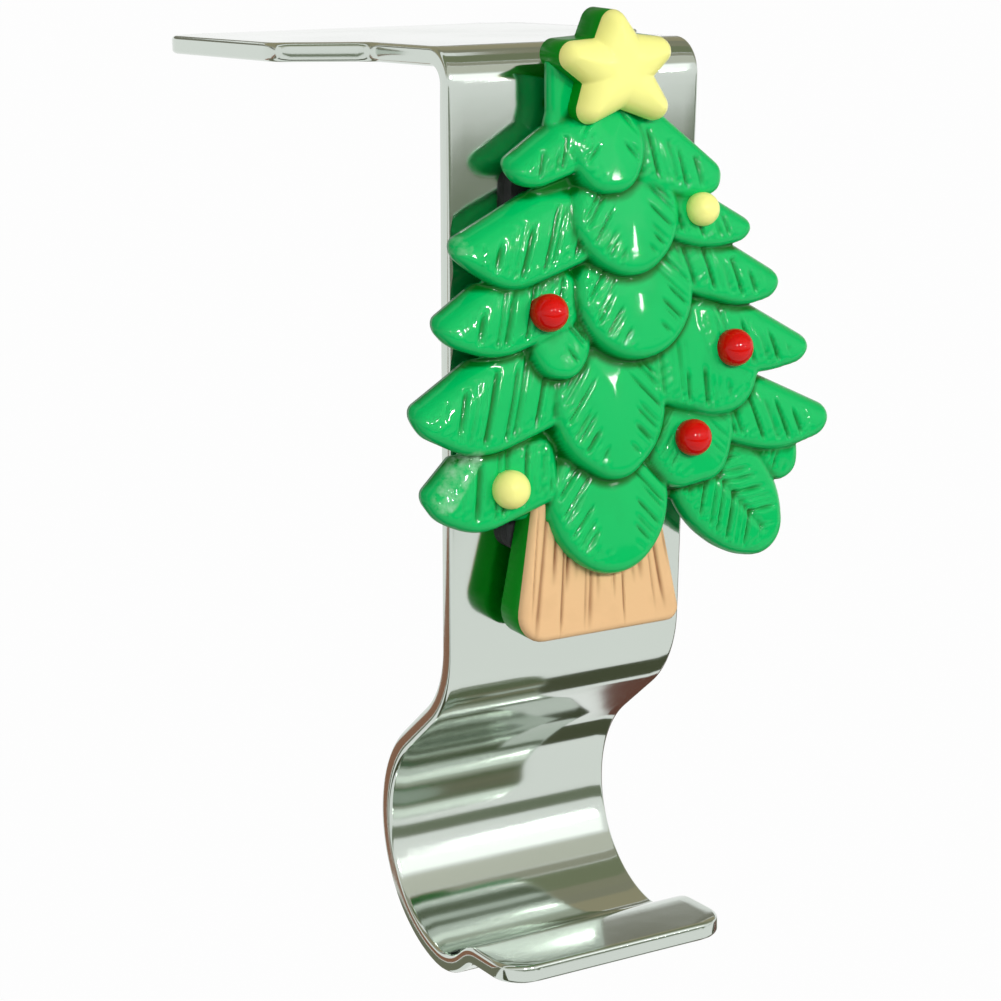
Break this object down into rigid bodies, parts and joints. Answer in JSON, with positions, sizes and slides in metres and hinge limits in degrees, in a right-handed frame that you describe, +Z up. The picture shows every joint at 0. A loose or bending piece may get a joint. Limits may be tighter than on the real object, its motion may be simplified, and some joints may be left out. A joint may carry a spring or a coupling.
{
  "type": "mantel stocking holder",
  "caption": "Bent chrome strip with a paddle plate that rests on a mantel shelf and a hook below for a stocking loop, its face dressed with a cast Christmas tree.",
  "frame": {"origin": "inner corner of the top bend, in the middle of the strip's width, where the plane of the strip's back meets the underside of the plate", "axes": "+X across the strip, -Y out of the strip's face into the room, +Z up; the plate reaches back along +Y over the shelf"},
  "size_m": [0.0536, 0.0635, 0.1037],
  "materials": {
    "chrome_plate": "mirror-bright plating on stamped steel",
    "foam_tape": "dark double-sided mounting tape",
    "green_enamel": "glossy enamel paint on cast resin, with yellow, red and tan details"
  },
  "bodies": {
    "root": {"bent_strip": "chrome_plate", "adhesive_pad": "foam_tape", "tree_figure": "green_enamel"}
  },
  "joints": []
}
